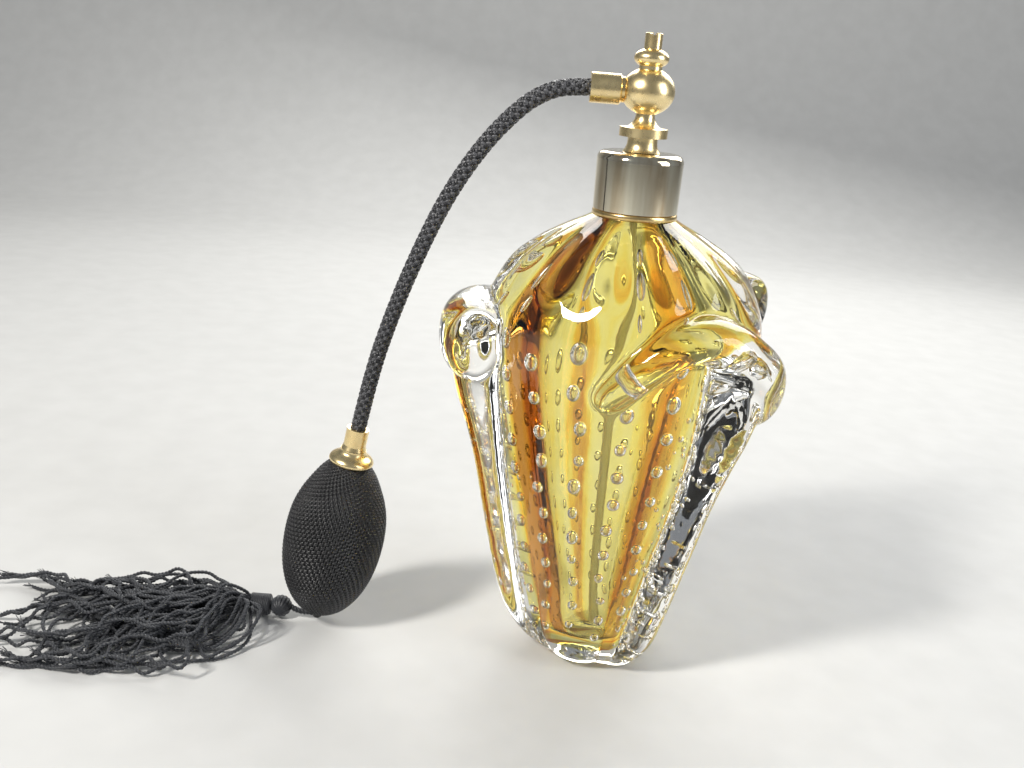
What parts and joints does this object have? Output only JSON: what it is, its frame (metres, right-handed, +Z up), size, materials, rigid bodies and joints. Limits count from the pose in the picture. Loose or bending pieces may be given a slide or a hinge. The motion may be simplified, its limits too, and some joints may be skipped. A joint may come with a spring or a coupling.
{
  "type": "perfume atomiser",
  "caption": "Heavy cased art-glass perfume bottle with drooping hoods, a gilt screw-on spray head, and a knitted squeeze bulb with a tassel on a braided hose.",
  "frame": {"origin": "centre of the bottle's flat foot, on the surface that it stands on", "axes": "+Z up the bottle's axis towards the nozzle; the hose leaves the head towards -X and the bulb and tassel lie on that side; +Y is away from the hood at the front right"},
  "size_m": [0.2417, 0.1104, 0.1843],
  "materials": {
    "clear_glass": "clear, fire polished, with trapped bubbles",
    "amber_glass": "lemon yellow shading to amber",
    "plaster": "white fitting plaster, matt",
    "gilt_brass": "gilt, bright",
    "polished_gilt": "pale gilt, polished",
    "satin_gilt": "pale gilt, satin",
    "gasket_rubber": "soft black rubber",
    "tube_plastic": "translucent polythene",
    "black_braid": "black braided rayon",
    "hose_rubber": "dark latex",
    "black_knit": "black crochet",
    "valve_steel": "bright steel",
    "tassel_yarn": "black twisted yarn"
  },
  "bodies": {
    "bottle": {"bottle_glass": "clear_glass", "coloured_layer": "amber_glass", "neck_cement": "plaster", "neck_ring": "gilt_brass"},
    "gasket": {"neck_gasket": "gasket_rubber"},
    "washer": {"cone_washer": "satin_gilt"},
    "spray_head": {"stem_plug": "gilt_brass", "dip_tube": "tube_plastic", "pedestal": "satin_gilt", "spray_ball": "satin_gilt", "spray_nozzle": "satin_gilt", "feed_tube": "gilt_brass", "hose_nipple": "gilt_brass", "side_ferrule": "satin_gilt", "hose_braid": "black_braid", "hose_liner": "hose_rubber", "bulb_ferrule": "satin_gilt", "bulb_cap": "satin_gilt", "bulb_nipple": "gilt_brass", "valve_body": "gilt_brass", "valve_cage": "gilt_brass", "tail_knot": "black_knit"},
    "collar": {"screw_collar": "polished_gilt"},
    "bulb": {"crochet_cover": "black_knit", "rubber_bladder": "hose_rubber"},
    "inlet_valve": {"valve_ball": "valve_steel"},
    "tassel_link": {"tassel_link": "tassel_yarn"},
    "tassel": {"tassel_knot": "tassel_yarn", "tassel_binding": "tassel_yarn", "tassel_skirt": "tassel_yarn"}
  },
  "joints": [
    {"name": "lift_off", "type": "slide", "parent": "bottle", "child": "gasket", "axis": [0, 0, 1], "range_m": [0, 0.15]},
    {"name": "screw_rise", "type": "slide", "parent": "gasket", "child": "washer", "axis": [0, 0, 1], "range_m": [0, 0.003]},
    {"name": "head_turn", "type": "hinge", "parent": "washer", "child": "spray_head", "pos_m": [0, 0, 0.1557], "axis": [0, 0, 1], "range_deg": [-180, 180]},
    {"name": "collar_turn", "type": "hinge", "parent": "washer", "child": "collar", "pos_m": [0, 0, 0.1452], "axis": [0, 0, 1], "range_deg": [0, 740]},
    {"name": "bulb_squeeze", "type": "slide", "parent": "spray_head", "child": "bulb", "axis": [0, 1, 0], "range_m": [0, 0.009], "stiffness_N_per_m": 250, "deforming": ["crochet_cover", "rubber_bladder"]},
    {"name": "inlet_valve_lift", "type": "slide", "parent": "spray_head", "child": "inlet_valve", "axis": [0.17, 0, 0.9854], "range_m": [0, 0.0006]},
    {"name": "tassel_swing", "type": "hinge", "parent": "spray_head", "child": "tassel_link", "pos_m": [-0.08595, 0, 0.00234], "axis": [0, 0, 1], "range_deg": [-40, 40]},
    {"name": "tassel_lift", "type": "hinge", "parent": "tassel_link", "child": "tassel", "pos_m": [-0.0929, 0, 0.0034], "axis": [0, 1, 0], "range_deg": [0, 35]}
  ],
  "couplings": [
    {"joint": "collar_turn", "follows": "screw_rise", "rad_per_m": 4188.8}
  ]
}
